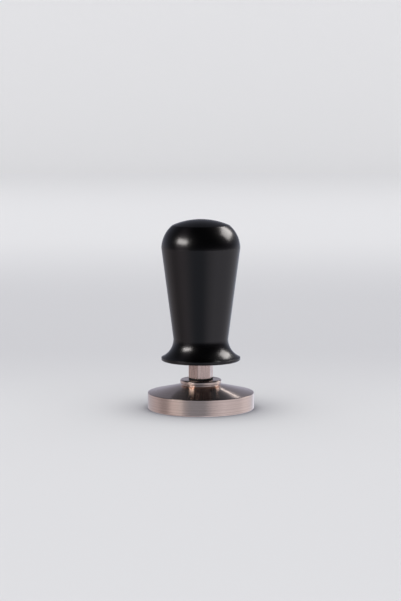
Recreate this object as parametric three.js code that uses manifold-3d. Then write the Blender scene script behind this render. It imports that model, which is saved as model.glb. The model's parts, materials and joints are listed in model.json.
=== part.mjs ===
// Calibrated espresso tamper. Millimetres, +Z up, origin at the centre of the flat tamping face.
//
// A steel base is screwed to a hexagonal stem. The aluminium handle slides down that stem against a coil
// spring, and its guide bush lands on the stem washer when the set tamping force is reached.
// Each piece is modelled from its own lower face and stands at its height in the stack.
import * as THREE from "three";
import { mergeVertices } from "three/addons/utils/BufferGeometryUtils.js";
import Module from "manifold-3d";

const wasm = await Module();
wasm.setup();

// ---- Driving dimensions ----------------------------------------------------------------------------

const BASE_RADIUS = 29; // fits a 58 mm filter basket
const BASE_WALL = 8.75; // height of the straight wall, up to the rim's chamfer
const BASE_CHAMFER = 0.4;
const RIM_CHAMFER = { in: 0.3, up: 0.2 };
const CONE_TOP = { radius: 10.8, height: 13.1 };
const NECK = { radius: 10.2, top: 13.8 }; // the undercut below the collar

const COLLAR_RADIUS = 11.3;
const COLLAR_THICKNESS = 2.2;
const COLLAR_CHAMFER = { top: 0.5, bottom: 0.4 };
const STEM_WASHER = { outer: 6.6, thickness: 0.8 };

const STEM_FLATS = 12; // across flats
const STEM_TURN = THREE.MathUtils.degToRad(15.8); // how far one corner is turned from +X
const STEM_CHAMFER = 0.5;
const STUD = { radius: 3.9, length: 20, foot: 5, chamfer: 0.6 }; // foot is the height of its lower end
const STUD_HOLE = { radius: 4, floor: 4.5, point: 1.2, depthInStem: 9 };
const THROUGH_HOLE = 4.2; // where the stud passes through the collar and the stem washer

const FOOT_HEIGHT = 26.4; // underside of the handle
const FOOT_RADIUS = 21.55;
const FOOT_CHAMFER = { in: 0.6, up: 0.5 };
const WAIST = { radius: 14.95, height: 38.3 };
const FLARE_RADIUS = 11.1;
const SEAM = { radius: 21.45, height: 88 }; // where the cap meets the handle body
const DOME_RADIUS = 16.7;
const CREASE = { radius: 15.55, height: 100.1 }; // where the dome's shoulder meets its crown
const CROWN_HEIGHT = 103.4;

const BORE = 10.5; // the bore that the plunger and the spring run in
const LEDGE_HEIGHT = 30; // the ledge inside the foot that carries the guide bush
const BUSH = { nose: 9, flange: 10.4, top: 38, flats: 12.2 };
const DOWEL = { radius: 1, length: 4, orbit: 9.6 };
const CIRCLIP = { outer: 11.1, inner: 9.3, thickness: 1, grooveDepth: 0.7 };
const CIRCLIP_OPENING = THREE.MathUtils.degToRad(14); // half of the gap between its ends
const CIRCLIP_EYE = { radius: 1.1, orbit: 9.65, angle: CIRCLIP_OPENING + 0.09 };
const BUMPER = { outer: 8.3, inner: 7.15, thickness: 2 };
const PLUNGER = { radius: 10.3, flange: 4, boss: 6.8, bossHeight: 3, hole: 2.7, edge: 0.4 };
const SCREW_POCKET = { radius: 4.5, floor: 2.2 }; // in the plunger, for the screw's head
const SCREW = { shank: 2.4, head: 4.25, headHeight: 5, socketFlats: 4, socketDepth: 2.5, length: 13 };
const SCREW_HOLE = { radius: 2.5, spareDepth: 1 }; // in the stem's upper end
const LOCK_WASHER = { outer: 4.2, inner: 2.7, thickness: 1.2 };
const LOCK_WASHER_SLOT = 0.5;
const SPRING = { wire: 1.2, mean: 8.5, turns: 8.25, length: 33, endPitch: 2.45 }; // wire is its radius
const THRUST_WASHER = { outer: 10.2, inner: 6.5, thickness: 1 };
const NUT_BORE = { radius: 12.5, spare: 1.5 }; // threaded, and runs a little lower than the preload nut
const PRELOAD_NUT = { outer: 12.4, inner: 6, thickness: 3.5 };
const SPANNER_HOLE = { radius: 1.3, depth: 2, orbit: 9.2 };
const JAM_RING = { outer: 12.4, inner: 8.5, thickness: 1.5 };
const SPANNER_SLOT = { width: 2.4, depth: 0.8 };
const CAP_BORE = 16; // threaded counterbore for the cap's spigot
const CAP_SPIGOT = { radius: 15.9, inner: 12.6, length: 4.8, cavity: 10, point: 4, edge: 0.4 };
const O_RING = { mean: 15.35, section: 0.6, groove: 1.7 };

const GAP = 0.05; // radial clearance between pieces that are pressed or screwed together
const ROUND = 64; // facets round the large turned pieces
const MIDDLE_ROUND = 48;
const SMALL_ROUND = 32;
const TINY_ROUND = 16;
const OVERSHOOT = 1; // how far a cutter runs past the face that it opens

// ---- Heights of the stack ---------------------------------------------------------------------------

const collarHeight = NECK.top;
const washerHeight = collarHeight + COLLAR_THICKNESS;
const stemHeight = washerHeight + STEM_WASHER.thickness;
const bumperHeight = BUSH.top;
const plungerHeight = bumperHeight + BUMPER.thickness;
const springHeight = plungerHeight + PLUNGER.flange;
const thrustHeight = springHeight + SPRING.length;
const nutHeight = thrustHeight + THRUST_WASHER.thickness;
const jamHeight = nutHeight + PRELOAD_NUT.thickness;
const capFloor = jamHeight + JAM_RING.thickness;
const screwSeat = plungerHeight + SCREW_POCKET.floor;
const screwFoot = screwSeat + LOCK_WASHER.thickness - SCREW.length;

// ---- Materials --------------------------------------------------------------------------------------

const finish = (color, roughness, metalness) => (
  new THREE.MeshStandardMaterial({ color, roughness, metalness })
);
const blackAnodised = finish(0x0d0d10, 0.35, 0.6);
const turnedSteel = finish(0xa89a94, 0.25, 1);
const drawnSteel = finish(0x9c8d88, 0.45, 1);
const zincSteel = finish(0xb4b6ba, 0.35, 1);
const springSteel = finish(0x6c6d72, 0.3, 1);
const blackRubber = finish(0x101010, 0.8, 0);
const blackAcetal = finish(0x17171a, 0.5, 0);
const brass = finish(0xb89650, 0.35, 1);

// ---- Shape helpers ----------------------------------------------------------------------------------

// A closed profile of [radius, height] pairs, turned about the Z axis. It runs anticlockwise: up the outside.
function turned(profile, segments = SMALL_ROUND) {
  const points = profile.map(([radius, height]) => new THREE.Vector2(radius, height));
  return new THREE.LatheGeometry(points, segments).rotateX(Math.PI / 2);
}

// A ring of rectangular section with a small chamfer on its outer corners.
function ring({ outer, inner, thickness }, chamfer = 0.15, segments = SMALL_ROUND) {
  return turned([
    [inner, 0],
    [outer - chamfer, 0],
    [outer, chamfer],
    [outer, thickness - chamfer],
    [outer - chamfer, thickness],
    [inner, thickness],
    [inner, 0],
  ], segments);
}

function cylinder(radius, height, bottom, segments = SMALL_ROUND) {
  return new THREE.CylinderGeometry(radius, radius, height, segments)
    .rotateX(Math.PI / 2)
    .translate(0, 0, bottom + height / 2);
}

// A hexagonal prism, given by its size across flats, with one corner turned from +X.
function hexPrism(flats, height, bottom, turn) {
  const radius = flats / 2 / Math.cos(Math.PI / 6);
  const corners = Array.from({ length: 6 }, (_, i) => {
    const angle = turn + (i * Math.PI) / 3;
    return new THREE.Vector2(radius * Math.cos(angle), radius * Math.sin(angle));
  });
  return new THREE.ExtrudeGeometry(new THREE.Shape(corners), { depth: height, bevelEnabled: false })
    .translate(0, 0, bottom);
}

// Points of a circular arc about a centre, as [radius, height] pairs, both ends included.
function arc([centreR, centreZ], radius, from, to, steps) {
  return Array.from({ length: steps + 1 }, (_, i) => {
    const angle = from + ((to - from) * i) / steps;
    return [centreR + radius * Math.cos(angle), centreZ + radius * Math.sin(angle)];
  });
}

// The arc of a given radius from one profile point to another, bulging away from the axis.
function bulge(start, end, radius, steps) {
  const [dr, dz] = [end[0] - start[0], end[1] - start[1]];
  const chord = Math.hypot(dr, dz);
  const depth = Math.sqrt(radius ** 2 - (chord / 2) ** 2);
  const centre = [
    (start[0] + end[0]) / 2 - (dz / chord) * depth,
    (start[1] + end[1]) / 2 + (dr / chord) * depth,
  ];
  const angleTo = (point) => Math.atan2(point[1] - centre[1], point[0] - centre[0]);
  return arc(centre, radius, angleTo(start), angleTo(end), steps);
}

// A closed geometry as a manifold-3d solid.
function solid(geometry) {
  const bare = geometry.index ? geometry.toNonIndexed() : geometry.clone();
  bare.deleteAttribute("normal");
  bare.deleteAttribute("uv");
  const merged = mergeVertices(bare, 1e-4);
  return new wasm.Manifold(new wasm.Mesh({
    numProp: 3,
    vertProperties: new Float32Array(merged.attributes.position.array),
    triVerts: new Uint32Array(merged.index.array),
  }));
}

// The geometry that is left when the cutters are taken away from a body.
function cut(body, ...cutters) {
  const left = cutters.reduce((kept, cutter) => kept.subtract(solid(cutter)), solid(body));
  return fromSolid(left);
}

function common(a, b) {
  return fromSolid(solid(a).intersect(solid(b)));
}

function fromSolid(made) {
  const { vertProperties, triVerts } = made.getMesh();
  const geometry = new THREE.BufferGeometry();
  geometry.setAttribute("position", new THREE.BufferAttribute(vertProperties, 3));
  geometry.setIndex(new THREE.BufferAttribute(triVerts, 1));
  return geometry;
}

// ---- Pieces of the base and its stem ----------------------------------------------------------------

function tampingBase() {
  return turned([
    [0, 0],
    [BASE_RADIUS - BASE_CHAMFER, 0],
    [BASE_RADIUS, BASE_CHAMFER],
    [BASE_RADIUS, BASE_WALL],
    [BASE_RADIUS - RIM_CHAMFER.in, BASE_WALL + RIM_CHAMFER.up],
    [CONE_TOP.radius, CONE_TOP.height],
    [NECK.radius, CONE_TOP.height],
    [NECK.radius, NECK.top],
    [STUD_HOLE.radius, NECK.top],
    [STUD_HOLE.radius, STUD_HOLE.floor],
    [0, STUD_HOLE.floor - STUD_HOLE.point],
  ], ROUND);
}

function stopCollar() {
  return turned([
    [THROUGH_HOLE, 0],
    [COLLAR_RADIUS - COLLAR_CHAMFER.bottom, 0],
    [COLLAR_RADIUS, COLLAR_CHAMFER.bottom],
    [COLLAR_RADIUS, COLLAR_THICKNESS - COLLAR_CHAMFER.top],
    [COLLAR_RADIUS - COLLAR_CHAMFER.top, COLLAR_THICKNESS],
    [THROUGH_HOLE, COLLAR_THICKNESS],
    [THROUGH_HOLE, 0],
  ], ROUND);
}

// The hexagonal bar, with turned chamfers at its ends and a tapped hole in each end.
function hexStem() {
  const length = plungerHeight - stemHeight;
  const corner = STEM_FLATS / 2 / Math.cos(Math.PI / 6);
  const blank = turned([
    [0, 0],
    [corner - 2 * STEM_CHAMFER, 0],
    [corner + STEM_CHAMFER, STEM_CHAMFER],
    [corner + STEM_CHAMFER, length - STEM_CHAMFER],
    [corner - 2 * STEM_CHAMFER, length],
    [0, length],
  ]);
  const bar = hexPrism(STEM_FLATS, length + 2 * OVERSHOOT, -OVERSHOOT, STEM_TURN);
  const screwReach = plungerHeight - screwFoot;
  const screwDepth = screwReach + SCREW_HOLE.spareDepth;
  return cut(
    common(bar, blank),
    cylinder(STUD_HOLE.radius, STUD_HOLE.depthInStem + OVERSHOOT, -OVERSHOOT),
    cylinder(SCREW_HOLE.radius, screwDepth + OVERSHOOT, length - screwDepth),
  );
}

function baseStud() {
  const { radius, length, chamfer } = STUD;
  return turned([
    [0, 0],
    [radius - chamfer, 0],
    [radius, chamfer],
    [radius, length - chamfer],
    [radius - chamfer, length],
    [0, length],
  ]);
}

// The disc on top of the stem. Its flange carries the spring, and its boss centres it and hides the screw.
function plunger() {
  const { radius, flange, boss, bossHeight, hole, edge } = PLUNGER;
  const top = flange + bossHeight;
  return turned([
    [hole, 0],
    [radius - edge, 0],
    [radius, edge],
    [radius, flange - edge],
    [radius - edge, flange],
    [boss, flange],
    [boss, top - edge],
    [boss - edge, top],
    [SCREW_POCKET.radius, top],
    [SCREW_POCKET.radius, SCREW_POCKET.floor],
    [hole, SCREW_POCKET.floor],
    [hole, 0],
  ], MIDDLE_ROUND);
}

// A socket head cap screw. Its lower face is the shank's end.
function plungerScrew() {
  const { shank, head, headHeight, socketFlats, socketDepth, length } = SCREW;
  const top = length + headHeight;
  const edge = 0.4;
  const body = turned([
    [0, 0],
    [shank - edge, 0],
    [shank, edge],
    [shank, length],
    [head, length],
    [head, top - edge],
    [head - edge, top],
    [0, top],
  ]);
  return cut(body, hexPrism(socketFlats, socketDepth + OVERSHOOT, top - socketDepth, 0));
}

// A split spring washer.
function lockWasher() {
  const { outer, thickness } = LOCK_WASHER;
  const slot = new THREE.BoxGeometry(outer, LOCK_WASHER_SLOT, 3 * thickness);
  return cut(ring(LOCK_WASHER), slot.translate(outer / 2, 0, 0));
}

// A compression spring with a closed turn at each end, ground flat over three quarters of that turn.
function mainSpring() {
  const { wire, mean, turns, length, endPitch } = SPRING;
  const groundAway = wire / 2; // how far the wire's centre starts outside the ground face
  const freePitch = (length + 2 * groundAway - 2 * endPitch) / (turns - 2);
  class Helix extends THREE.Curve {
    getPoint(t) {
      const turn = t * turns;
      const closed = Math.min(turn, 1) + Math.max(turn - (turns - 1), 0);
      return new THREE.Vector3(
        mean * Math.cos(2 * Math.PI * turn),
        mean * Math.sin(2 * Math.PI * turn),
        closed * endPitch + (turn - closed) * freePitch - groundAway,
      );
    }
  }
  const section = new THREE.Shape().absarc(0, 0, wire, 0, 2 * Math.PI);
  const coil = new THREE.ExtrudeGeometry(section, {
    steps: Math.round(turns * 16),
    curveSegments: 4,
    extrudePath: new Helix(),
  });
  return common(coil, cylinder(mean + 2 * wire, length, 0));
}

// ---- Pieces of the handle ---------------------------------------------------------------------------

// The outside runs from the foot's chamfer, up the concave flare and the straight taper, to the seam.
function handleBody() {
  const flareCentre = WAIST.radius + FLARE_RADIUS;
  const flareEnd = Math.PI + Math.acos((flareCentre - FOOT_RADIUS) / FLARE_RADIUS);
  const flare = arc([flareCentre, WAIST.height], FLARE_RADIUS, flareEnd, Math.PI, 10);
  const groove = BORE + CIRCLIP.grooveDepth;
  const grooveTop = BUSH.top + CIRCLIP.thickness + GAP;
  const nutBoreFloor = nutHeight - NUT_BORE.spare;
  const shell = turned([
    [BUSH.nose + GAP, FOOT_HEIGHT],
    [FOOT_RADIUS - FOOT_CHAMFER.in, FOOT_HEIGHT],
    [FOOT_RADIUS, FOOT_HEIGHT + FOOT_CHAMFER.up],
    ...flare,
    [SEAM.radius, SEAM.height],
    [CAP_BORE, SEAM.height],
    [CAP_BORE, capFloor],
    [NUT_BORE.radius, capFloor],
    [NUT_BORE.radius, nutBoreFloor],
    [BORE, nutBoreFloor],
    [BORE, grooveTop],
    [groove, grooveTop],
    [groove, BUSH.top],
    [BORE, BUSH.top],
    [BORE, LEDGE_HEIGHT],
    [BUSH.nose + GAP, LEDGE_HEIGHT],
    [BUSH.nose + GAP, FOOT_HEIGHT],
  ], ROUND);
  return cut(shell, ...[1, -1].map((side) => dowelHole(side, LEDGE_HEIGHT)));
}

// The hole for a dowel that is centred on the joint between the bush's flange and the ledge.
function dowelHole(side, joint) {
  return cylinder(DOWEL.radius + GAP, DOWEL.length + 2 * GAP, joint - DOWEL.length / 2 - GAP, TINY_ROUND)
    .translate(side * DOWEL.orbit, 0, 0);
}

// A stepped bush. Its nose fills the hole in the foot, and its hexagonal bore keeps the handle from turning.
function guideBush() {
  const length = BUSH.top - FOOT_HEIGHT;
  const step = LEDGE_HEIGHT - FOOT_HEIGHT;
  const blank = turned([
    [0, 0],
    [BUSH.nose, 0],
    [BUSH.nose, step],
    [BUSH.flange, step],
    [BUSH.flange, length],
    [0, length],
  ], ROUND);
  return cut(
    blank,
    hexPrism(BUSH.flats, length + 2 * OVERSHOOT, -OVERSHOOT, STEM_TURN),
    ...[1, -1].map((side) => dowelHole(side, step)),
  );
}

// An internal circlip: an open ring with an eye at each end.
function bushCirclip() {
  const { outer, inner, thickness } = CIRCLIP;
  const { radius, orbit, angle } = CIRCLIP_EYE;
  const opening = new THREE.BoxGeometry(2 * outer, 2 * outer * Math.tan(CIRCLIP_OPENING), 3 * thickness);
  const band = cut(ring({ outer, inner, thickness }, 0.1, MIDDLE_ROUND), opening.translate(outer, 0, 0));
  const eyes = [1, -1].map((side) => cylinder(radius, thickness, 0, TINY_ROUND)
    .translate(orbit * Math.cos(angle), side * orbit * Math.sin(angle), 0));
  return fromSolid(eyes.reduce((made, eye) => made.add(solid(eye)), solid(band)));
}

function preloadNut() {
  const { radius, depth, orbit } = SPANNER_HOLE;
  const spannerHoles = [1, -1].map((side) => (
    cylinder(radius, depth + OVERSHOOT, PRELOAD_NUT.thickness - depth, TINY_ROUND)
      .translate(0, side * orbit, 0)
  ));
  return cut(ring(PRELOAD_NUT, 0.3, MIDDLE_ROUND), ...spannerHoles);
}

// The thin ring that locks the preload nut, with four spanner slots.
function jamRing() {
  const { width, depth } = SPANNER_SLOT;
  const slots = [0, 1].map((i) => new THREE.BoxGeometry(3 * JAM_RING.outer, width, 2 * depth)
    .rotateZ((i * Math.PI) / 2 + Math.PI / 4)
    .translate(0, 0, JAM_RING.thickness));
  return cut(ring(JAM_RING, 0.2, MIDDLE_ROUND), ...slots);
}

// The dome, its threaded spigot with a groove for the O-ring, and the cavity over the preload nut.
function handleCap() {
  const { radius, inner, length, cavity, point, edge } = CAP_SPIGOT;
  const low = SEAM.height - length;
  const rise = CROWN_HEIGHT - CREASE.height;
  const crownRadius = (CREASE.radius ** 2 + rise ** 2) / (2 * rise);
  const crease = [CREASE.radius, CREASE.height];
  const shoulder = bulge([SEAM.radius, SEAM.height], crease, DOME_RADIUS, 8);
  const creaseAngle = Math.acos(CREASE.radius / crownRadius);
  const crown = arc([0, CROWN_HEIGHT - crownRadius], crownRadius, creaseAngle, Math.PI / 2, 5);
  crown[crown.length - 1] = [0, CROWN_HEIGHT];
  const grooveFloor = O_RING.mean - O_RING.section - GAP;
  return turned([
    [0, low + cavity + point],
    [inner, low + cavity],
    [inner, low],
    [radius - edge, low],
    [radius, low + edge],
    [radius, SEAM.height - O_RING.groove],
    [grooveFloor, SEAM.height - O_RING.groove],
    [grooveFloor, SEAM.height],
    ...shoulder,
    ...crown.slice(1),
  ], ROUND);
}

function oRing() {
  return new THREE.TorusGeometry(O_RING.mean, O_RING.section, 8, 40);
}

// ---- Assembly ---------------------------------------------------------------------------------------

const tamper = new THREE.Group();
const baseAssembly = new THREE.Group();
const handleAssembly = new THREE.Group();
tamper.add(baseAssembly, handleAssembly);

function place(assembly, name, geometry, material, height = 0) {
  const mesh = new THREE.Mesh(geometry, material);
  mesh.name = name;
  mesh.position.z = height;
  assembly.add(mesh);
}

place(baseAssembly, "tamping_base", tampingBase(), turnedSteel);
place(baseAssembly, "base_stud", baseStud(), zincSteel, STUD.foot);
place(baseAssembly, "stop_collar", stopCollar(), turnedSteel, collarHeight);
place(baseAssembly, "stem_washer", ring({ ...STEM_WASHER, inner: THROUGH_HOLE }), blackRubber, washerHeight);
place(baseAssembly, "hex_stem", hexStem(), drawnSteel, stemHeight);
place(baseAssembly, "plunger", plunger(), zincSteel, plungerHeight);
place(baseAssembly, "lock_washer", lockWasher(), zincSteel, screwSeat);
place(baseAssembly, "plunger_screw", plungerScrew(), zincSteel, screwFoot);
place(baseAssembly, "main_spring", mainSpring(), springSteel, springHeight);

place(handleAssembly, "handle_body", handleBody(), blackAnodised);
place(handleAssembly, "guide_bush", guideBush(), blackAcetal, FOOT_HEIGHT);
for (const [side, word] of [[1, "right"], [-1, "left"]]) {
  const pin = cylinder(DOWEL.radius, DOWEL.length, LEDGE_HEIGHT - DOWEL.length / 2, TINY_ROUND);
  place(handleAssembly, `bush_dowel_${word}`, pin.translate(side * DOWEL.orbit, 0, 0), zincSteel);
}
place(handleAssembly, "bush_circlip", bushCirclip(), springSteel, BUSH.top + GAP / 2);
place(handleAssembly, "rebound_bumper", ring(BUMPER, 0.3), blackRubber, bumperHeight);
place(handleAssembly, "upper_thrust_washer", ring(THRUST_WASHER), zincSteel, thrustHeight);
place(handleAssembly, "preload_nut", preloadNut(), brass, nutHeight);
place(handleAssembly, "jam_ring", jamRing(), brass, jamHeight);
place(handleAssembly, "handle_cap", handleCap(), blackAnodised);
place(handleAssembly, "cap_o_ring", oRing(), blackRubber, SEAM.height - O_RING.groove / 2);

export default tamper;
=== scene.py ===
"""Looks of a calibrated espresso tamper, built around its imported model. Metres, +Z up, -Y to the front.

Profiles are written in millimetres, as on a workshop drawing, and turned into metres when a mesh is made.
"""

import json
import math

import bmesh
import bpy
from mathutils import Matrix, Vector


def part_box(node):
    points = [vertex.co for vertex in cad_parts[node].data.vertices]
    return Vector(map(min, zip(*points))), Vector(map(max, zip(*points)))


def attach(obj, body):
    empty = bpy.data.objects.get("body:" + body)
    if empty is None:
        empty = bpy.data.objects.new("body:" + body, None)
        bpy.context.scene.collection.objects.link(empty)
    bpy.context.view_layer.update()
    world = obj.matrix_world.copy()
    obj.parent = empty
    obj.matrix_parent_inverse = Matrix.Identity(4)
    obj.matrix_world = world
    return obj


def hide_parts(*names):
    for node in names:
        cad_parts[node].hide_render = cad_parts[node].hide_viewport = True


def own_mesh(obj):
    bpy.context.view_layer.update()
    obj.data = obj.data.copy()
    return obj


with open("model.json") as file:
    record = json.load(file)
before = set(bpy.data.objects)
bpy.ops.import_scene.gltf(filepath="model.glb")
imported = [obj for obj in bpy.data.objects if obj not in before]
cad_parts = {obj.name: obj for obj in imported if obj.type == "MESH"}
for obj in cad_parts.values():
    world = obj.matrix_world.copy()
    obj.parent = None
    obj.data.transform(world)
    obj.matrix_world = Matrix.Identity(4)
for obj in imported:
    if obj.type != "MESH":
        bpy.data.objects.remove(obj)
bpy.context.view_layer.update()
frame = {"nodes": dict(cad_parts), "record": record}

MM = 0.001
AROUND = 192  # points round a turned piece
SMALL_AROUND = 64
EDGE = 0.12  # mm, the small radius that a deburred metal edge has
CRISP = 0.05  # mm, the same on the polished base and collar
CLOSE = 1e-6  # mm, a distance too small to matter
SHARP = math.radians(35)  # edges that turn by more than this are shaded sharp
OVERSHOOT = 1  # mm, how far a cutter runs past the face that it opens
FILLET_STEPS = 5


# ---- Camera -----------------------------------------------------------------------------------------

CAMERA_PLACE = Vector((-0.0002, -1.016, 0.1741))
CAMERA_PITCH = math.radians(6.456)  # looking down
CAMERA_LENS = 112.7


def make_camera():
    data = bpy.data.cameras.new("camera")
    data.lens = CAMERA_LENS
    camera = bpy.data.objects.new("camera", data)
    camera.location = CAMERA_PLACE
    camera.rotation_euler = (math.pi / 2 - CAMERA_PITCH, 0, 0)
    bpy.context.scene.collection.objects.link(camera)
    bpy.context.scene.camera = camera


make_camera()


# ---- Outlines ---------------------------------------------------------------------------------------


def arc(centre, radius, start, end, steps):
    """Points of an arc, as (radius, height), both ends included. Angles are in radians."""
    angles = [start + (end - start) * i / steps for i in range(steps + 1)]
    return [(centre[0] + radius * math.cos(a), centre[1] + radius * math.sin(a)) for a in angles]


def bulge(start, end, radius, steps):
    """The arc of that radius from start to end that bulges away from the axis."""
    start, end = Vector(start), Vector(end)
    chord = end - start
    depth = math.sqrt(radius**2 - (chord.length / 2) ** 2)
    centre = (start + end) / 2 + Vector((-chord.y, chord.x)).normalized() * depth
    angles = [math.atan2(p.y - centre.y, p.x - centre.x) for p in (start, end)]
    return arc(centre, radius, *angles, steps)


def outline(corners, closed):
    """(point, outward normal) pairs along a profile that runs up the outside of a solid.

    A corner is (radius, height) or (radius, height, fillet).
    """
    points = [Vector(c[:2]) for c in corners]
    made = []
    for i, corner in enumerate(corners):
        here = points[i]
        before = points[i - 1] if closed or i > 0 else None
        after = points[(i + 1) % len(points)] if closed or i + 1 < len(points) else None
        inward = (here - before).normalized() if before else None
        onward = (after - here).normalized() if after else None
        fillet = corner[2] if len(corner) > 2 else 0
        if fillet and before and after:
            made += filleted(here, inward, onward, fillet)
        else:
            along = (inward or onward) + (onward or inward)
            made.append((here, Vector((along.y, -along.x)).normalized()))
    return made


def filleted(corner, inward, onward, radius):
    """An arc of that radius in place of the corner between two directions."""
    turn = inward.angle_signed(onward) * -1
    setback = radius * math.tan(abs(turn) / 2)
    side = 1 if turn > 0 else -1
    start = corner - inward * setback
    first_normal = Vector((inward.y, -inward.x))
    centre = start - first_normal * radius * side
    made = []
    for i in range(FILLET_STEPS + 1):
        angle = turn * i / FILLET_STEPS
        cos, sin = math.cos(angle), math.sin(angle)
        normal = Vector((
            first_normal.x * cos - first_normal.y * sin,
            first_normal.x * sin + first_normal.y * cos,
        ))
        made.append((centre + normal * radius * side, normal))
    return made


# ---- Meshes -----------------------------------------------------------------------------------------


def new_object(name, vertices, faces):
    mesh = bpy.data.meshes.new(name)
    mesh.from_pydata([Vector(v) * MM for v in vertices], [], faces)
    mesh.update()
    mesh.shade_smooth()
    obj = bpy.data.objects.new(name, mesh)
    bpy.context.scene.collection.objects.link(obj)
    return obj


def bridge(rings, closed):
    """Faces between successive rings of vertex numbers. A ring of one number is a point on the axis."""
    faces = []
    following = rings[1:] + rings[:1] if closed else rings[1:]
    for low, high in zip(rings, following):
        count = max(len(low), len(high))
        for i in range(count):
            j = (i + 1) % count
            if len(low) == 1:
                faces.append((low[0], high[j], high[i]))
            elif len(high) == 1:
                faces.append((low[i], low[j], high[0]))
            else:
                faces.append((low[i], low[j], high[j], high[i]))
    return faces


class Thread:
    """A screw thread cut into a turned piece, from low to high, at that radius of its profile.

    Its depth is positive on a bolt and negative in a nut.
    """

    STEPS = 8  # rings of points in each turn

    def __init__(self, radius, low, high, pitch, depth):
        self.radius, self.low, self.high, self.pitch, self.depth = radius, low, high, pitch, depth

    def corners(self):
        """Profile corners for the threaded stretch, upwards on a bolt and downwards in a nut."""
        count = round((self.high - self.low) / self.pitch * self.STEPS)
        heights = [self.low + (self.high - self.low) * i / count for i in range(1, count)]
        return [(self.radius, height) for height in (heights if self.depth > 0 else reversed(heights))]

    def holds(self, point):
        return abs(point.x - self.radius) < CLOSE and self.low < point.y < self.high

    def cut(self, point, normal, angle):
        """The point and its normal, moved to the bottom or the flank of the thread at that angle."""
        fade = min(1, (point.y - self.low) / self.pitch, (self.high - point.y) / self.pitch)
        phase = 2 * math.pi * point.y / self.pitch - angle
        radius = point.x - self.depth * fade * (1 - math.cos(phase)) / 2
        slope = self.depth * fade * math.sin(phase) * math.pi / self.pitch
        return Vector((radius, point.y)), Vector((normal.x, slope * normal.x)).normalized()


def turned(name, corners, closed=False, threads=(), around=AROUND):
    """A turned piece. The profile starts and ends on the axis, or closes on itself."""
    vertices, normals, rings = [], [], []
    for on_profile, facing in outline(corners, closed):
        count = around if on_profile.x > CLOSE else 1
        thread = next((t for t in threads if t.holds(on_profile)), None)
        rings.append(list(range(len(vertices), len(vertices) + count)))
        for i in range(count):
            angle = 2 * math.pi * i / around
            point, normal = thread.cut(on_profile, facing, angle) if thread else (on_profile, facing)
            cos, sin = math.cos(angle), math.sin(angle)
            vertices.append((point.x * cos, point.x * sin, point.y))
            normals.append((normal.x * cos, normal.x * sin, normal.y) if count > 1 else (0, 0, normal.y))
    obj = new_object(name, vertices, bridge(rings, closed))
    obj.data.normals_split_custom_set_from_vertices([Vector(n).normalized() for n in normals])
    return obj


def lofted(name, rings, closed):
    """A piece made of rings of points. A ring has as many points as its neighbours, or only one."""
    vertices = [p for ring in rings for p in ring]
    numbers, first = [], 0
    for ring in rings:
        numbers.append(list(range(first, first + len(ring))))
        first += len(ring)
    obj = new_object(name, vertices, bridge(numbers, closed))
    obj.data.set_sharp_from_angle(angle=SHARP)
    return obj


def hexagon(flats, corner_radius, turn):
    """Points of a hexagon with rounded corners, each flat with a point close to both of its ends."""
    corner_steps = 6
    points = []
    apothem = flats / 2
    half_flat = apothem * math.tan(math.pi / 6) - corner_radius * math.tan(math.pi / 6)
    for side in range(6):
        facing = turn + math.pi / 6 + side * math.pi / 3
        normal = Vector((math.cos(facing), math.sin(facing)))
        along = Vector((-normal.y, normal.x))
        for share in (-1, -0.96, -0.5, 0, 0.5, 0.96):
            points.append(normal * apothem + along * half_flat * share)
        start = normal * (apothem - corner_radius) + along * half_flat
        for i in range(corner_steps):
            angle = facing + math.pi / 3 * i / corner_steps
            points.append(start + Vector((math.cos(angle), math.sin(angle))) * corner_radius)
    return points


def flat_ring(name, inner, outer, bottom, top, edge=EDGE, threads=()):
    """A turned ring with filleted edges."""
    outside = [corner for thread in threads for corner in thread.corners()]
    return turned(name, [
        (inner, bottom, edge),
        (outer, bottom, edge),
        *outside,
        (outer, top, edge),
        (inner, top, edge),
    ], closed=True, threads=threads)


def rod(name, radius, bottom, top, edge, threads=()):
    """A turned rod with chamfered ends."""
    outside = [corner for thread in threads for corner in thread.corners()]
    return turned(name, [
        (0, bottom),
        (radius - edge, bottom, EDGE / 2),
        (radius, bottom + edge, EDGE / 2),
        *outside,
        (radius, top - edge, EDGE / 2),
        (radius - edge, top, EDGE / 2),
        (0, top),
    ], threads=threads, around=SMALL_AROUND)


def prism(name, section, bottom, top):
    """An upright prism on a section of (x, y) points."""
    low, high = [[(*p, height) for p in section] for height in (bottom, top)]
    return lofted(name, [[(0, 0, bottom)], low, high, [(0, 0, top)]], closed=False)


def middle(ring):
    """The mean of a ring's points."""
    return tuple(sum(axis) / len(ring) for axis in zip(*ring))


def swept(name, path, section):
    """A section of (outward, up) points carried along a path of (angle, radius, height) round the axis."""
    rings = []
    for angle, radius, height in path:
        cos, sin = math.cos(angle), math.sin(angle)
        rings.append([
            ((radius + out) * cos, (radius + out) * sin, height + up)
            for out, up in reversed(section)
        ])
    return lofted(name, [[middle(rings[0])], *rings, [middle(rings[-1])]], closed=False)


def clean(obj):
    """Takes out faces with no area, and shades the rest by the angle between them."""
    shortest_edge = 1e-7  # metres
    shape = bmesh.new()
    shape.from_mesh(obj.data)
    bmesh.ops.dissolve_degenerate(shape, dist=shortest_edge, edges=shape.edges)
    shape.to_mesh(obj.data)
    shape.free()
    obj.data.shade_smooth()
    obj.data.set_sharp_from_angle(angle=SHARP)


def shaped(obj, others, operation="DIFFERENCE"):
    """obj with the others cut away from it, joined to it or kept in common. The others are used up."""
    for other in others:
        modifier = obj.modifiers.new("shape", "BOOLEAN")
        modifier.operation = operation
        modifier.solver = "EXACT"
        modifier.object = other
    graph = bpy.context.evaluated_depsgraph_get()
    made = bpy.data.meshes.new_from_object(obj.evaluated_get(graph))
    obj.modifiers.clear()
    obj.data = made
    clean(obj)
    for other in others:
        bpy.data.objects.remove(other)
    return obj


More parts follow.
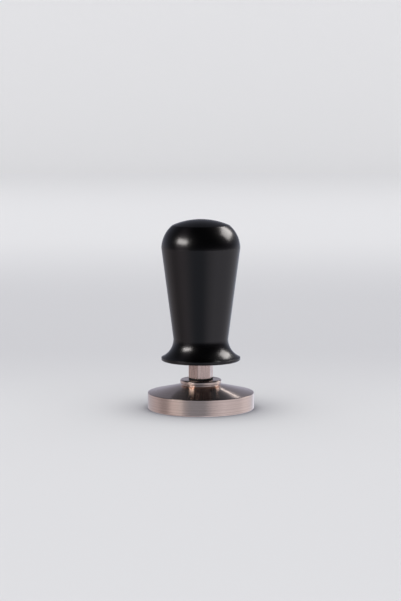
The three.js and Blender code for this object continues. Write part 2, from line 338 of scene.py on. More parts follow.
def rounded_rectangle(half_width, half_height, corner):
    """A rectangle about (0, 0) with rounded corners, anticlockwise."""
    corner_steps = 4
    points = []
    for i, (x, y) in enumerate(((1, 1), (-1, 1), (-1, -1), (1, -1))):
        centre = (x * (half_width - corner), y * (half_height - corner))
        points += arc(centre, corner, i * math.pi / 2, (i + 1) * math.pi / 2, corner_steps)
    return points


def circle_like(points, radius, height):
    """A circle of that radius, with its points at the same angles as those given."""
    return [(*(Vector(p[:2]).normalized() * radius), height) for p in points]


# ---- Materials --------------------------------------------------------------------------------------


NOISE_RANGE = (0.3, 0.7)  # where nearly all of a noise texture's values lie
CONE_STARTS = (0.0088, 0.0092)  # metres up, where the base's wall gives way to its cone
CONE_ENDS = (0.0139, 0.0137)  # metres up, where the collar gives way to the base, going down
QUARTER_TURN = 0.25


class Nodes:
    """The node shorthands that the finishes, the floor and the world share."""

    MIX_SOCKETS = {"FLOAT": (2, 3, 0), "RGBA": (6, 7, 2)}  # a Mix node's inputs and output, by data type

    def __init__(self, tree):
        self.nodes, self.links = tree.nodes, tree.links

    def node(self, kind, **settings):
        node = self.nodes.new(kind)
        for key, value in settings.items():
            setattr(node, key, value)
        return node

    def feed(self, socket, value):
        """Wires a socket to a node's output, or sets it to a plain value."""
        if isinstance(value, bpy.types.NodeSocket):
            self.links.new(value, socket)
        else:
            socket.default_value = value

    def math(self, operation, *values):
        node = self.node("ShaderNodeMath", operation=operation)
        for socket, value in zip(node.inputs, values):
            self.feed(socket, value)
        return node.outputs[0]

    def parts(self, vector):
        """The x, y and z of a vector."""
        node = self.node("ShaderNodeSeparateXYZ")
        self.feed(node.inputs[0], vector)
        return node.outputs

    def smooth(self, value, start, end):
        """0 at start and 1 at end, with a soft start and end."""
        node = self.node("ShaderNodeMapRange", interpolation_type="SMOOTHSTEP")
        self.feed(node.inputs["Value"], value)
        self.feed(node.inputs["From Min"], start)
        self.feed(node.inputs["From Max"], end)
        return node.outputs["Result"]

    def mixed(self, kind, factor, a, b):
        """a where the factor is 0, and b where it is 1."""
        node = self.node("ShaderNodeMix", data_type=kind)
        first, second, result = self.MIX_SOCKETS[kind]
        self.feed(node.inputs[0], factor)
        self.feed(node.inputs[first], a)
        self.feed(node.inputs[second], b)
        return node.outputs[result]


class Recipe(Nodes):
    """A Principled material."""

    def __init__(self, name, color, metallic, roughness):
        self.material = bpy.data.materials.new(name)
        self.material.use_nodes = True
        super().__init__(self.material.node_tree)
        self.shader = self.nodes["Principled BSDF"]
        self.color = color
        self.set("Base Color", (*color, 1))
        self.set("Metallic", metallic)
        self.set("Roughness", roughness)

    def set(self, name, value):
        self.feed(self.shader.inputs[name], value)

    def position(self):
        return self.node("ShaderNodeTexCoord").outputs["Object"]

    def scaled(self, vector, scale):
        node = self.node("ShaderNodeVectorMath", operation="MULTIPLY")
        self.feed(node.inputs[0], vector)
        self.feed(node.inputs[1], scale)
        return node.outputs[0]

    def noise(self, vector, scale, detail, roughness=0.5):
        node = self.node("ShaderNodeTexNoise")
        self.feed(node.inputs["Vector"], vector)
        self.feed(node.inputs["Scale"], scale)
        self.feed(node.inputs["Detail"], detail)
        self.feed(node.inputs["Roughness"], roughness)
        return node.outputs["Fac"]

    def rings(self, scale, detail=2):
        """Noise that runs round the axis: it changes only along the radius and the height."""
        x, y, z = self.parts(self.position())
        squares = self.math("ADD", self.math("MULTIPLY", x, x), self.math("MULTIPLY", y, y))
        node = self.node("ShaderNodeTexNoise", noise_dimensions="1D")
        self.feed(node.inputs["W"], self.math("SUBTRACT", self.math("SQRT", squares), z))
        self.feed(node.inputs["Scale"], scale)
        self.feed(node.inputs["Detail"], detail)
        return node.outputs["Fac"]

    def spread(self, value, low, high):
        """A noise's values, stretched to run from low to high."""
        node = self.node("ShaderNodeMapRange")
        limits = (*NOISE_RANGE, low, high)
        self.feed(node.inputs["Value"], value)
        for name, limit in zip(("From Min", "From Max", "To Min", "To Max"), limits):
            self.feed(node.inputs[name], limit)
        return node.outputs["Result"]

    def roughness(self, value, low, high):
        self.set("Roughness", self.spread(value, low, high))

    def turned_roughness(self, value, usual, cone):
        """Smoother on the base's cone, which is faced, than on its wall and on the collar."""
        height = self.parts(self.position())[2]
        on_cone = self.math("MULTIPLY", self.smooth(height, *CONE_STARTS), self.smooth(height, *CONE_ENDS))
        levels = [self.spread(value, *limits) for limits in (usual, cone)]
        self.set("Roughness", self.mixed("FLOAT", on_cone, *levels))

    def shade(self, value, low, high):
        """Varies the base colour's brightness between low and high times its own."""
        colors = [(*[c * level for c in self.color], 1) for level in (low, high)]
        self.set("Base Color", self.mixed("RGBA", self.spread(value, 0, 1), *colors))

    def bump(self, height, distance, strength):
        node = self.node("ShaderNodeBump")
        self.feed(node.inputs["Distance"], distance)
        self.feed(node.inputs["Strength"], strength)
        self.feed(node.inputs["Height"], height)
        self.set("Normal", node.outputs["Normal"])

    def turned_grain(self, amount):
        """Highlights stretch across the turning marks, which run round the axis."""
        tangent = self.node("ShaderNodeTangent", direction_type="RADIAL", axis="Z")
        self.set("Tangent", tangent.outputs[0])
        self.set("Anisotropic", amount)
        self.set("Anisotropic Rotation", QUARTER_TURN)


def turned_steel():
    made = Recipe("turned_steel", (0.84, 0.7, 0.625), 1, 0.24)
    made.turned_grain(0.9)
    made.turned_roughness(made.rings(9000), usual=(0.21, 0.27), cone=(0.18, 0.22))
    made.shade(made.rings(2600, detail=3), 0.88, 1.09)
    made.bump(made.rings(9000), distance=0.000003, strength=0.5)
    return made.material


def drawn_steel():
    made = Recipe("drawn_steel", (0.84, 0.675, 0.61), 1, 0.28)
    along_bar = made.scaled(made.position(), (1, 1, 0.03))
    streaks = made.noise(along_bar, 3000, detail=3, roughness=0.6)
    made.roughness(streaks, 0.22, 0.34)
    made.shade(streaks, 0.6, 1.2)
    made.bump(streaks, distance=0.00003, strength=0.5)
    return made.material


def black_anodised():
    """Turned aluminium under a dyed oxide layer: a dim stretched reflection below a clear satin one."""
    made = Recipe("black_anodised", (0.0068, 0.006, 0.0071), 1, 0.4)
    made.turned_grain(0.85)
    made.set("Specular Tint", (0.15, 0.15, 0.15, 1))
    made.set("Coat Weight", 1)
    made.set("Coat Roughness", 0.25)
    made.set("Coat IOR", 1.5)
    made.roughness(made.noise(made.position(), 120, detail=4), 0.36, 0.44)
    made.bump(made.noise(made.position(), 9000, detail=2), distance=0.000003, strength=0.3)
    return made.material


def zinc_steel():
    made = Recipe("zinc_steel", (0.62, 0.63, 0.65), 1, 0.3)
    cloud = made.noise(made.position(), 900, detail=4)
    made.roughness(cloud, 0.22, 0.38)
    made.shade(cloud, 0.9, 1.08)
    return made.material


def spring_steel():
    made = Recipe("spring_steel", (0.3, 0.3, 0.32), 1, 0.32)
    cloud = made.noise(made.position(), 1500, detail=4)
    made.roughness(cloud, 0.25, 0.42)
    made.shade(cloud, 0.8, 1.15)
    return made.material


def black_rubber():
    made = Recipe("black_rubber", (0.012, 0.012, 0.012), 0, 0.75)
    grain = made.noise(made.position(), 4000, detail=3)
    made.roughness(grain, 0.65, 0.85)
    made.bump(grain, distance=0.00003, strength=0.5)
    return made.material


def black_acetal():
    made = Recipe("black_acetal", (0.014, 0.014, 0.016), 0, 0.4)
    made.roughness(made.rings(5000), 0.34, 0.5)
    made.bump(made.rings(6000), distance=0.000005, strength=0.5)
    return made.material


def brass():
    made = Recipe("brass", (0.72, 0.52, 0.22), 1, 0.3)
    made.turned_grain(0.5)
    made.roughness(made.rings(7000), 0.25, 0.38)
    made.shade(made.rings(2000, detail=3), 0.92, 1.05)
    return made.material


FINISHES = {
    "black_anodised": black_anodised(),
    "turned_steel": turned_steel(),
    "drawn_steel": drawn_steel(),
    "zinc_steel": zinc_steel(),
    "spring_steel": spring_steel(),
    "black_rubber": black_rubber(),
    "black_acetal": black_acetal(),
    "brass": brass(),
}


def paint_cad_nodes():
    """Every CAD node gets its finish, whether it's replaced later or not."""
    for entry in frame["record"]["subparts"]:
        obj = frame["nodes"][entry["node"]]
        obj.data.materials.clear()
        obj.data.materials.append(FINISHES[entry["material_slot"]])


def stand_in(obj, node, body):
    """obj takes the finish of a CAD node, rides on its body and is shown instead of it."""
    slots = {entry["node"]: entry["material_slot"] for entry in frame["record"]["subparts"]}
    obj.data.materials.append(FINISHES[slots[node]])
    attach(obj, body)
    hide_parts(node)


paint_cad_nodes()


# ---- Sizes that pieces share, in millimetres --------------------------------------------------------


def reach(node):
    """(largest radius, bottom, top) of a CAD node."""
    low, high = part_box(node)
    return high.x / MM, low.z / MM, high.z / MM


base_radius, base_bottom, base_top = reach("tamping_base")
collar_radius, collar_bottom, collar_top = reach("stop_collar")
washer_radius, washer_bottom, washer_top = reach("stem_washer")
_, stem_bottom, stem_top = reach("hex_stem")
_, foot_bottom, seam = reach("handle_body")
_, cap_bottom, crown_top = reach("handle_cap")

STUD_HOLE = 4
THROUGH_HOLE = 4.2  # where the stud passes through the collar and the stem washer
STEM_FLATS = 12  # across flats
STEM_TURN = math.radians(15.8)  # how far one corner is turned from +X


# ---- Pieces of the base and its stem ----------------------------------------------------------------


def tamping_base():
    wall_top, rim_top, rim_in = 8.75, 8.95, 0.3
    cone_radius, cone_top, neck = 10.8, 13.1, 10.2
    chamfer = 0.4
    hole_floor, drill_point = 4.5, 1.2
    return turned("visual_tamping_base", [
        (0, base_bottom),
        (base_radius - chamfer, base_bottom, CRISP),
        (base_radius, base_bottom + chamfer, CRISP),
        (base_radius, wall_top, EDGE),
        (base_radius - rim_in, rim_top, EDGE),
        (cone_radius, cone_top, CRISP),
        (neck, cone_top, CRISP),
        (neck, base_top, CRISP),
        (STUD_HOLE, base_top, CRISP),
        (STUD_HOLE, hole_floor, CRISP),
        (0, hole_floor - drill_point),
    ])


def stop_collar():
    top_chamfer, bottom_chamfer = 0.5, 0.4
    return turned("visual_stop_collar", [
        (THROUGH_HOLE, collar_bottom, CRISP),
        (collar_radius - bottom_chamfer, collar_bottom, CRISP),
        (collar_radius, collar_bottom + bottom_chamfer, CRISP),
        (collar_radius, collar_top - top_chamfer, 2 * EDGE),
        (collar_radius - top_chamfer, collar_top, CRISP),
        (THROUGH_HOLE, collar_top, CRISP),
    ], closed=True)


def stem_washer():
    edge = 0.25
    return turned("visual_stem_washer", [
        (THROUGH_HOLE, washer_bottom, edge / 2),
        (washer_radius, washer_bottom, edge),
        (washer_radius, washer_top, edge),
        (THROUGH_HOLE, washer_top, edge / 2),
    ], closed=True)


def hex_stem():
    """The hexagonal bar, with a turned chamfer at each end and a tapped hole in each end."""
    corner_radius, chamfer = 0.3, 0.5
    chamfer_run = 3  # how far a chamfer goes outwards for each millimetre along the bar
    stud_depth, screw_hole, screw_depth = 9, 2.5, 10.8
    section = hexagon(STEM_FLATS, corner_radius, STEM_TURN)
    corner = STEM_FLATS / 2 / math.cos(math.pi / 6)
    shoulder = corner - 2 * chamfer

    def wall(height, side):
        rise = [max(0, (p.length - shoulder) / chamfer_run) for p in section]
        return [(p.x, p.y, height + side * r) for p, r in zip(section, rise)]

    rings = [
        [(0, 0, stem_bottom + stud_depth)],
        circle_like(section, STUD_HOLE, stem_bottom + stud_depth),
        circle_like(section, STUD_HOLE, stem_bottom),
        circle_like(section, shoulder, stem_bottom),
        wall(stem_bottom, 1),
        wall(stem_top, -1),
        circle_like(section, shoulder, stem_top),
        circle_like(section, screw_hole, stem_top),
        circle_like(section, screw_hole, stem_top - screw_depth),
        [(0, 0, stem_top - screw_depth)],
    ]
    return lofted("visual_hex_stem", rings, closed=False)


# ---- Pieces of the handle ---------------------------------------------------------------------------

SEAM_RADIUS = 21.45
SEAM_EDGE = 0.05
CURVE_STEPS = 40  # along the flare and along the dome


def handle_body():
    foot_radius, foot_in, foot_up = 21.55, 0.6, 0.5
    waist_radius, waist_height, flare_radius = 14.95, 38.3, 11.1
    flare_centre = (waist_radius + flare_radius, waist_height)
    flare_start = math.pi + math.acos((flare_centre[0] - foot_radius) / flare_radius)
    flare = arc(flare_centre, flare_radius, flare_start, math.pi, CURVE_STEPS)
    nose, ledge, bore = 9.05, 30, 10.5
    groove, groove_bottom, groove_top = 11.2, 38, 39.05
    nut_bore, nut_bottom = 12.5, 76.5
    cap_bore, cap_floor = 16, 83
    runout, lead_in = 0.3, 0.4
    cap_thread = Thread(cap_bore, cap_floor + runout, seam - lead_in, pitch=1, depth=-0.4)
    nut_thread = Thread(nut_bore, nut_bottom + runout, cap_floor - runout, pitch=1, depth=-0.4)
    return turned("visual_handle_body", [
        (nose, foot_bottom, EDGE),
        (foot_radius - foot_in, foot_bottom, EDGE),
        (foot_radius, foot_bottom + foot_up, EDGE),
        (*flare[0], EDGE),
        *flare[1:-1],
        (*flare[-1], EDGE),
        (SEAM_RADIUS, seam, SEAM_EDGE),
        (cap_bore, seam, EDGE),
        *cap_thread.corners(),
        (cap_bore, cap_floor, EDGE),
        (nut_bore, cap_floor, EDGE),
        *nut_thread.corners(),
        (nut_bore, nut_bottom, EDGE),
        (bore, nut_bottom, EDGE),
        (bore, groove_top, EDGE),
        (groove, groove_top, EDGE),
        (groove, groove_bottom, EDGE),
        (bore, groove_bottom, EDGE),
        (bore, ledge, EDGE),
        (nose, ledge, EDGE),
    ], closed=True, threads=[cap_thread, nut_thread])


def handle_cap():
    crease_radius, crease_height, dome_radius = 15.55, 100.1, 16.7
    rise = crown_top - crease_height
    crown_radius = (crease_radius**2 + rise**2) / (2 * rise)
    dome = bulge((SEAM_RADIUS, seam), (crease_radius, crease_height), dome_radius, CURVE_STEPS)
    crown_start = math.acos(crease_radius / crown_radius)
    crown = arc((0, crown_top - crown_radius), crown_radius, crown_start, math.pi / 2, steps=24)
    spigot, inner, spigot_edge = 15.9, 12.6, 0.4
    groove, groove_bottom = 14.7, seam - 1.7
    cavity, cavity_point = cap_bottom + 10, 4
    lead_in, runout = 0.5, 0.2
    thread = Thread(spigot, cap_bottom + lead_in, groove_bottom - runout, pitch=1, depth=0.4)
    return turned("visual_handle_cap", [
        (0, cavity + cavity_point),
        (inner, cavity, EDGE),
        (inner, cap_bottom, EDGE),
        (spigot, cap_bottom, spigot_edge),
        *thread.corners(),
        (spigot, groove_bottom, EDGE),
        (groove, groove_bottom, EDGE),
        (groove, seam, EDGE),
        (*dome[0], SEAM_EDGE),
        *dome[1:-1],
        (*dome[-1], 2 * EDGE),
        *crown[1:-1],
        (0, crown_top),
    ], threads=[thread])


# ---- Pieces inside ----------------------------------------------------------------------------------

DOWEL = {"radius": 1, "orbit": 9.6, "chamfer": 0.2}


def base_stud():
    radius, bottom, top = reach("base_stud")
    chamfer, plain_end = 0.6, 1
    thread = Thread(radius, bottom + plain_end, top - plain_end, pitch=1.25, depth=0.55)
    return rod("visual_base_stud", radius, bottom, top, chamfer, [thread])


def plunger():
    radius, bottom, top = reach("plunger")
    flange, boss, hole = bottom + 4, 6.8, 2.7
    pocket, pocket_floor = 4.5, bottom + 2.2
    rim_fillet, root_fillet, boss_fillet = 0.4, 0.3, 0.6
    return turned("visual_plunger", [
        (hole, bottom, EDGE),
        (radius, bottom, rim_fillet),
        (radius, flange, rim_fillet),
        (boss, flange, root_fillet),
        (boss, top, boss_fillet),
        (pocket, top, EDGE),
        (pocket, pocket_floor, EDGE),
        (hole, pocket_floor, EDGE),
    ], closed=True)


def lock_washer():
    """A split ring whose ends stand a little apart in height."""
    outer, bottom, top = reach("lock_washer")
    inner, half_slot, steps = 2.7, math.radians(5), 72
    rise = 0.12  # from one end of the ring to the other
    half_width, half_height = (outer - inner) / 2, (top - bottom) / 2 - rise / 2
    section = rounded_rectangle(half_width, half_height, EDGE)
    path = []
    for i in range(steps + 1):
        share = i / steps
        angle = half_slot + (2 * math.pi - 2 * half_slot) * share
        path.append((angle, (outer + inner) / 2, (bottom + top) / 2 + rise * (share - 0.5)))
    return swept("visual_lock_washer", path, section)


def plunger_screw():
    """A socket head cap screw."""
    head, bottom, top = reach("plunger_screw")
    shank, shoulder, edge, neck_fillet = 2.4, top - 5, 0.4, 0.2
    socket_flats, socket_corner, socket_depth = 4, 0.05, 2.5
    lead_in, runout = 0.6, 1.5
    thread = Thread(shank, bottom + lead_in, shoulder - runout, pitch=0.8, depth=0.4)
    screw = turned("visual_plunger_screw", [
        (0, bottom),
        (shank - edge, bottom, EDGE / 2),
        (shank, bottom + edge, EDGE / 2),
        *thread.corners(),
        (shank, shoulder, neck_fillet),
        (head, shoulder, EDGE),
        (head, top, edge),
        (0, top),
    ], threads=[thread], around=SMALL_AROUND)
    section = hexagon(socket_flats, socket_corner, turn=0)
    return shaped(screw, [prism("socket", section, top - socket_depth, top + OVERSHOOT)])


def main_spring():
    """A coil with a closed turn at each end, ground flat there."""
    _, bottom, top = reach("main_spring")
    wire, mean, turns, end_pitch = 1.2, 8.5, 8.25, 2.45  # wire is its radius
    steps, steps_round_wire = 64, 20
    buried = wire / 2  # how far the wire's centre starts outside the ground face
    free_pitch = (top - bottom + 2 * buried - 2 * end_pitch) / (turns - 2)
    section = arc((0, 0), wire, 0, 2 * math.pi, steps_round_wire)[:-1]
    path = []
    for i in range(round(turns * steps) + 1):
        turn = i / steps
        closed = min(turn, 1) + max(turn - (turns - 1), 0)
        height = bottom - buried + closed * end_pitch + (turn - closed) * free_pitch
        path.append((2 * math.pi * turn, mean, height))
    between = rod("between", mean + 2 * wire, bottom, top, EDGE)
    spring = shaped(swept("visual_main_spring", path, section), [between], "INTERSECT")
    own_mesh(spring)
    return spring


def dowel(side, spare=0.0):
    """A pin at +X or -X, or with some spare the cutter for its hole."""
    word = "right" if side > 0 else "left"
    _, bottom, top = reach(f"bush_dowel_{word}")
    radius = DOWEL["radius"] + spare
    pin = rod(f"visual_bush_dowel_{word}", radius, bottom - spare, top + spare, DOWEL["chamfer"])
    for vertex in pin.data.vertices:
        vertex.co.x += side * DOWEL["orbit"] * MM
    return pin


def guide_bush():
    """A stepped bush with a hexagonal bore, notched for its two dowels."""
    flange, bottom, top = reach("guide_bush")
    nose, step, flats, lead = 9, 30, 12.2, 0.4
    end_fillet, corner_radius, dowel_spare = 0.25, 0.4, 0.05
    blank = turned("visual_guide_bush", [
        (0, bottom),
        (nose, bottom, end_fillet),
        (nose, step, EDGE / 2),
        (flange, step, EDGE),
        (flange, top, end_fillet),
        (0, top),
    ])
    bore = hexagon(flats, corner_radius, STEM_TURN)
    mouth = hexagon(flats + 2 * lead, corner_radius, STEM_TURN)
    rings = [[(*p, height) for p in section] for section, height in (
        (mouth, bottom - OVERSHOOT),
        (mouth, bottom),
        (bore, bottom + lead),
        (bore, top - lead),
        (mouth, top),
        (mouth, top + OVERSHOOT),
    )]
    ends = [[(0, 0, bottom - OVERSHOOT)], [(0, 0, top + OVERSHOOT)]]
    cutter = lofted("bore", [ends[0], *rings, ends[1]], closed=False)
    return shaped(blank, [cutter, *[dowel(side, dowel_spare) for side in (1, -1)]])


def bush_circlip():
    """An open ring with a drilled eye at each end."""
    outer, bottom, top = reach("bush_circlip")
    inner, opening, steps = 9.3, math.radians(14), 120
    corner, rim = 0.08, 0.06
    eye_radius, eye_hole, eye_inset, eye_orbit, eye_angle = 1.1, 0.5, 0.03, 9.65, 0.09
    section = rounded_rectangle((outer - inner) / 2, (top - bottom) / 2, corner)
    sweep = 2 * math.pi - 2 * opening
    path = [(opening + sweep * i / steps, (outer + inner) / 2, (bottom + top) / 2) for i in range(steps + 1)]
    band = swept("visual_bush_circlip", path, section)
    eyes, holes = [], []
    for side in (1, -1):
        angle = side * (opening + eye_angle)
        place = Vector((math.cos(angle), math.sin(angle), 0)) * eye_orbit * MM
        eyes.append(rod("eye", eye_radius, bottom + eye_inset, top - eye_inset, rim))
        holes.append(rod("hole", eye_hole, bottom - OVERSHOOT, top + OVERSHOOT, rim))
        for obj in (eyes[-1], holes[-1]):
            for vertex in obj.data.vertices:
                vertex.co += place
    return shaped(shaped(band, eyes, "UNION"), holes)


def rebound_bumper():
    outer, bottom, top = reach("rebound_bumper")
    inner, edge = 7.15, 0.3
    return flat_ring("visual_rebound_bumper", inner, outer, bottom, top, edge)


def upper_thrust_washer():
    outer, bottom, top = reach("upper_thrust_washer")
    inner, edge = 6.5, 0.15
    return flat_ring("visual_upper_thrust_washer", inner, outer, bottom, top, edge)


def preload_nut():
    """A threaded ring with two blind holes for a pin spanner."""
    outer, bottom, top = reach("preload_nut")
    inner, edge, runout = 6, 0.2, 0.3
    hole, hole_depth, hole_orbit, hole_edge = 1.3, 2, 9.2, 0.05
    thread = Thread(outer, bottom + runout, top - runout, pitch=1, depth=0.5)
    nut = flat_ring("visual_preload_nut", inner, outer, bottom, top, edge, [thread])
    holes = []
    for side in (1, -1):
        holes.append(rod("hole", hole, top - hole_depth, top + OVERSHOOT, hole_edge))
        for vertex in holes[-1].data.vertices:
            vertex.co.y += side * hole_orbit * MM
    return shaped(nut, holes)


def jam_ring():
    """The thin ring that locks the preload nut, with four spanner slots."""
    outer, bottom, top = reach("jam_ring")
    inner, edge = 8.5, 0.15
    half_slot, slot_depth = 1.2, 0.8
    past_rim = 1.5  # half a cutter's length, in radii
    ring = flat_ring("visual_jam_ring", inner, outer, bottom, top, edge)
    slots = []
    for turn in (math.pi / 4, -math.pi / 4):
        across = Vector((math.cos(turn), math.sin(turn)))
        side = Vector((-across.y, across.x))
        corners = [
            across * past_rim * outer * a + side * half_slot * b
            for a, b in ((-1, -1), (1, -1), (1, 1), (-1, 1))
        ]
        slots.append(prism("slot", corners, top - slot_depth, top + OVERSHOOT))
    return shaped(ring, slots)


def cap_o_ring():
    _, bottom, top = reach("cap_o_ring")
    mean, steps = 15.35, 24
    centre = (mean, (bottom + top) / 2)
    section = arc(centre, (top - bottom) / 2, 0, 2 * math.pi, steps)[:-1]
    return turned("visual_cap_o_ring", section, closed=True)


BASE_PIECES = {
    "tamping_base": tamping_base,
    "base_stud": base_stud,
    "stop_collar": stop_collar,
    "stem_washer": stem_washer,
    "hex_stem": hex_stem,
    "plunger": plunger,
    "lock_washer": lock_washer,
    "plunger_screw": plunger_screw,
    "main_spring": main_spring,
}
HANDLE_PIECES = {
    "handle_body": handle_body,
    "guide_bush": guide_bush,
    "bush_dowel_right": lambda: dowel(1),
    "bush_dowel_left": lambda: dowel(-1),
    "bush_circlip": bush_circlip,
    "rebound_bumper": rebound_bumper,
    "upper_thrust_washer": upper_thrust_washer,
    "preload_nut": preload_nut,
    "jam_ring": jam_ring,
    "handle_cap": handle_cap,
    "cap_o_ring": cap_o_ring,
}

for body, pieces in (("base_and_stem", BASE_PIECES), ("handle", HANDLE_PIECES)):
    for node, build in pieces.items():
        stand_in(build(), node, body)


# ---- Studio -----------------------------------------------------------------------------------------

FLOOR_FLAT = 3.0  # metres from the object to where the floor starts to rise
RIM_HEIGHT = 1.0  # metres, how high its far edge curves up
FLOOR_DROP = 0.00002  # metres, keeps the floor clear of the tamping face
FLOOR_COLOR = (0.59, 0.59, 0.604)
# the tint that the painted shade on the floor darkens towards
SHADOW_COLOR = (0, 0, 0.05)
GLOW_COLOR = (1, 1, 1.02)
BACKGROUND = 0.74  # how bright the empty floor and background look
LAMP_SHARE = 0.71  # how much of that comes from the top lamp, close to the object
PAINTED_BAND_SHADE = 0.16  # painted shade: how much darker the floor is in a band behind the object
BAND_NEAR = (-0.05, 0.25)  # metres behind the object, where the painted shade band starts and where it is full
BAND_FAR = (1.2, 0.5)  # the same, coming from beyond it
PAINTED_CONTACT_REACH = 0.05  # metres within which painted contact shade darkens the floor round the object
PAINTED_CONTACT_DEPTH = 1.15  # how strongly the painted contact shade darkens it
AIM_HEIGHT = 0.06  # metres, the point on the axis that the lamps face
TOP_LAMP_HEIGHT = 1.2  # metres above that point
TOP_LAMP_SIZE = 4.5
TOP_LAMP_POWER = 88
TOP_LAMP_REACH = 4.3  # metres to where its light on the floor is a quarter
WARM_LAMP = (1, 0.955, 0.93)


def floor_material():
    """Lit by the top lamp. Further out it glows by as much as that light has faded.

    It has painted shade: it is darker close round the object and in a band behind it.
    """
    made = Recipe("floor", FLOOR_COLOR, metallic=0, roughness=0.9)
    made.set("Specular IOR Level", 0)
    x, y, _ = made.parts(made.position())
    squares = made.math("ADD", made.math("MULTIPLY", x, x), made.math("MULTIPLY", y, y))
    fading = made.math("ADD", made.math("MULTIPLY", squares, TOP_LAMP_REACH**-2), 1)
    lit = made.math("MULTIPLY", made.math("POWER", fading, -2), LAMP_SHARE)
    made.set("Emission Strength", made.math("SUBTRACT", BACKGROUND, lit))
    made.set("Emission Color", (*GLOW_COLOR, 1))
    # painted contact shadow: an occlusion node darkens the floor's colour round the object
    painted_occlusion = made.node("ShaderNodeAmbientOcclusion")
    made.feed(painted_occlusion.inputs["Distance"], PAINTED_CONTACT_REACH)
    painted_contact_shade = made.math("POWER", painted_occlusion.outputs["AO"], PAINTED_CONTACT_DEPTH)
    # painted shade: a darker band on the floor behind the object
    behind = made.math("MULTIPLY", made.smooth(y, *BAND_NEAR), made.smooth(y, *BAND_FAR))
    band = made.math("SUBTRACT", 1, made.math("MULTIPLY", behind, PAINTED_BAND_SHADE))
    # painted shade: the floor's colour is mixed towards the shadow tint by the contact and band shading
    light = made.math("MULTIPLY", painted_contact_shade, band)
    made.set("Base Color", made.mixed("RGBA", light, (*SHADOW_COLOR, 1), (*FLOOR_COLOR, 1)))
    return made.material


def make_floor():
    """A pale floor that curves up at its far edge, so that it is the background too."""
    around, rim_steps = 96, 16
    vertices, rings = [(0, 0, 0)], [[0]]
    for radius, height in arc((FLOOR_FLAT, RIM_HEIGHT), RIM_HEIGHT, -math.pi / 2, 0, rim_steps):
        rings.append(list(range(len(vertices), len(vertices) + around)))
        for i in range(around):
            angle = 2 * math.pi * i / around
            vertices.append((radius * math.cos(angle), radius * math.sin(angle), height))
    obj = new_object("floor", [Vector(v) / MM for v in vertices], bridge(rings, closed=False))
    obj.location.z = -FLOOR_DROP
    obj.visible_glossy = False  # the world's lower half is what shows in the metal
    obj.data.materials.append(floor_material())


def softbox(name, azimuth, elevation, distance, width, height, power, color=(1, 1, 1)):
    """An area light that faces the object. Azimuth 0 is the camera's side, and positive is to its right."""
    data = bpy.data.lights.new(name, "AREA")
    data.shape = "RECTANGLE"
    data.size, data.size_y = width, height
    data.energy = power
    data.color = color
    azimuth, elevation = math.radians(azimuth), math.radians(elevation)
    away = Vector((
        math.sin(azimuth) * math.cos(elevation),
        -math.cos(azimuth) * math.cos(elevation),
        math.sin(elevation),
    ))
    lamp = bpy.data.objects.new(name, data)
    lamp.location = Vector((0, 0, AIM_HEIGHT)) + away * distance
    lamp.rotation_euler = away.to_track_quat("Z", "Y").to_euler()
    bpy.context.scene.collection.objects.link(lamp)
    return lamp


def light_only(lamp, nodes):
    """Keeps a lamp's light to the pieces that stand in for those nodes."""
    lit = bpy.data.collections.new(lamp.name + "_lights")
    for node in nodes:
        lit.objects.link(bpy.data.objects[f"visual_{node}"])
    lamp.light_linking.receiver_collection = lit


# (name, azimuth, elevation, distance, width, height, watts), and the pieces that the lamp lights.
SOFTBOXES = (
    (("key_left", -61, 28, 1.2, 0.66, 0.3, 8.6), HANDLE_PIECES),
    (("key_left_base", -57, 20, 1.2, 0.66, 0.3, 3.6), BASE_PIECES),
    (("window_right", 117, 37, 1.3, 0.9, 0.56, 12.5), HANDLE_PIECES),
    (("window_right_base", 118, 16, 1.3, 0.7, 0.3, 2.4), BASE_PIECES),
    (("cone_line", 172.8, 22.5, 1.3, 0.02, 0.03, 0.032), ["tamping_base"]),
)


def make_lamps():
    """Softboxes for the handle and the base, and one wide lamp overhead that doesn't show in the metal."""
    for setting, nodes in SOFTBOXES:
        light_only(softbox(*setting, WARM_LAMP), nodes)
    top = softbox("top", 0, 90, TOP_LAMP_HEIGHT, TOP_LAMP_SIZE, TOP_LAMP_SIZE, TOP_LAMP_POWER)
    top.visible_glossy = False


WARM = (1.02, 0.91, 0.95)
NEUTRAL = (1, 0.97, 1.05)
COOL = (0.95, 1, 1.15)

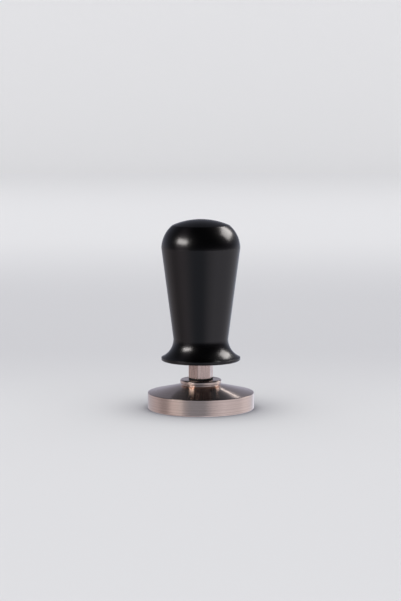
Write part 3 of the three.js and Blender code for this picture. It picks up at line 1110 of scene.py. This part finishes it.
# What the table top looks like from the object, by azimuth: (degrees, brightness, tint).
TABLE_TOP = (
    (-180, 0.5, COOL),
    (-112, 0.45, WARM),
    (-90, 0.33, WARM),
    (-60, 0.45, WARM),
    (-38, 0.41, NEUTRAL),
    (-22, 0.31, COOL),
    (8, 0.31, COOL),
    (27, 0.58, NEUTRAL),
    (50, 0.75, NEUTRAL),
    (90, 0.66, NEUTRAL),
    (125, 0.64, NEUTRAL),
    (150, 0.66, COOL),
    (168, 0.95, COOL),
    (180, 0.5, COOL),
)
ROOM = 0.02  # how bright the unlit room above the table is
ROOM_TINT = (0.97, 1, 1.22)
BACK_GLOW = 0.41  # how bright the lit backdrop is, just above the horizon
BACKDROP_FADE = 2.5  # how fast it dims upwards
BACKDROP_SPAN = (-0.1, 0.7)  # a direction's y, where the backdrop starts and where it is full
HORIZON = 0.03  # a direction's z, how far up and down the table's edge is blurred


def make_world():
    """A dark room over a pale table top, with a lit backdrop that fades upwards."""
    world = bpy.data.worlds.new("studio")
    world.use_nodes = True
    made = Nodes(world.node_tree)
    x, y, z = made.parts(made.node("ShaderNodeTexCoord").outputs["Generated"])
    turn = made.math("DIVIDE", made.math("ARCTAN2", x, made.math("MULTIPLY", y, -1)), 2 * math.pi)
    table_top = made.node("ShaderNodeValToRGB")
    made.feed(table_top.inputs[0], made.math("ADD", turn, 0.5))
    elements = table_top.color_ramp.elements
    for degrees, *_ in TABLE_TOP[1:-1]:
        elements.new(degrees / 360 + 0.5)
    for element, (degrees, brightness, tint) in zip(elements, TABLE_TOP):
        element.position = degrees / 360 + 0.5
        element.color = (*[brightness * share for share in tint], 1)
    fade = made.math("EXPONENT", made.math("MULTIPLY", made.math("ABSOLUTE", z), -BACKDROP_FADE))
    lit = made.math("MULTIPLY", made.smooth(y, *BACKDROP_SPAN), fade)
    above = made.node("ShaderNodeVectorMath", operation="SCALE")
    made.feed(above.inputs[0], ROOM_TINT)
    made.feed(above.inputs["Scale"], made.math("ADD", made.math("MULTIPLY", lit, BACK_GLOW), ROOM))
    over_horizon = made.smooth(z, -HORIZON, HORIZON)
    sky = made.mixed("RGBA", over_horizon, table_top.outputs[0], above.outputs[0])
    made.feed(made.nodes["Background"].inputs["Color"], sky)
    bpy.context.scene.world = world


make_floor()
make_lamps()
make_world()
bpy.context.scene.view_settings.view_transform = "Standard"
